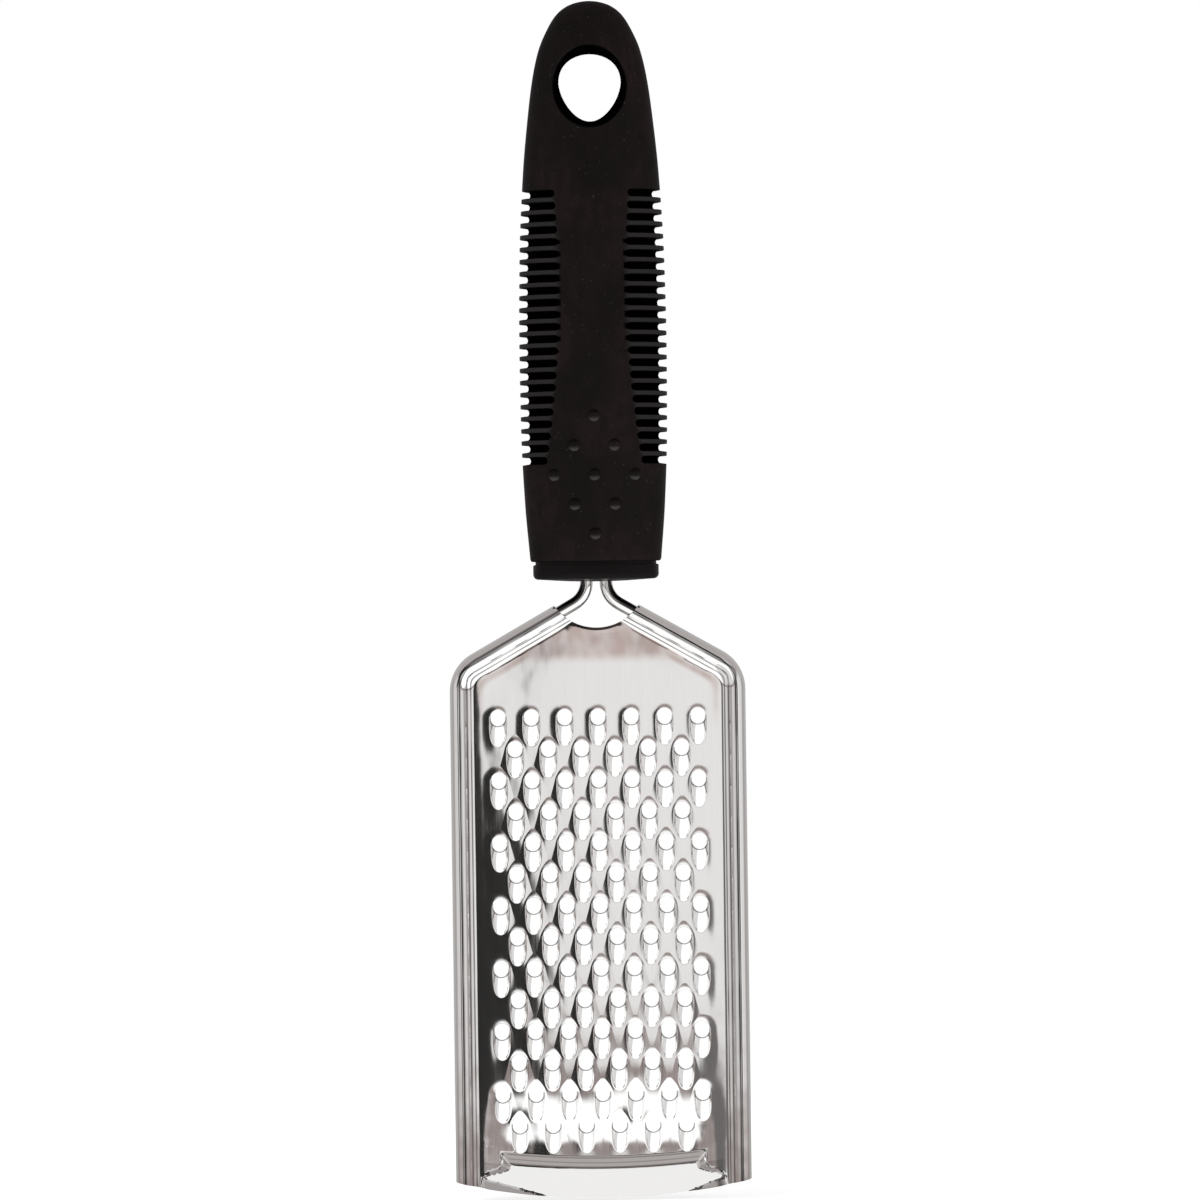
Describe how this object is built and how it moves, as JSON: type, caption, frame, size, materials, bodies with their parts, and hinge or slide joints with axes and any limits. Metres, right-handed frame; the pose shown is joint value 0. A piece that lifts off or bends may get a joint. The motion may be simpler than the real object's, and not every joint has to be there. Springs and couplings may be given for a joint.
{
  "type": "hand grater",
  "caption": "Paddle-shaped hand grater: a flat stainless plate of raised scoop teeth on a wire frame, with a soft ribbed handle and a hanging hole.",
  "frame": {"origin": "middle of the egg-shaped hanging hole, on the plane of the wires", "axes": "+Z from the grating plate up to the handle's tip, -Y out of the front, where the teeth stand out, +X to the right seen from the front"},
  "size_m": [0.0692, 0.0227, 0.2804],
  "materials": {
    "stainless_sheet": "fine lengthwise brushed",
    "bright_wire": "bright",
    "core_plastic": "moulded",
    "soft_grip": "soft matt",
    "collar_plastic": "satin"
  },
  "bodies": {
    "root": {"grater_plate": "stainless_sheet", "left_wire": "bright_wire", "right_wire": "bright_wire", "handle_core": "core_plastic", "grip_sleeve": "soft_grip", "end_collar": "collar_plastic"}
  },
  "joints": []
}
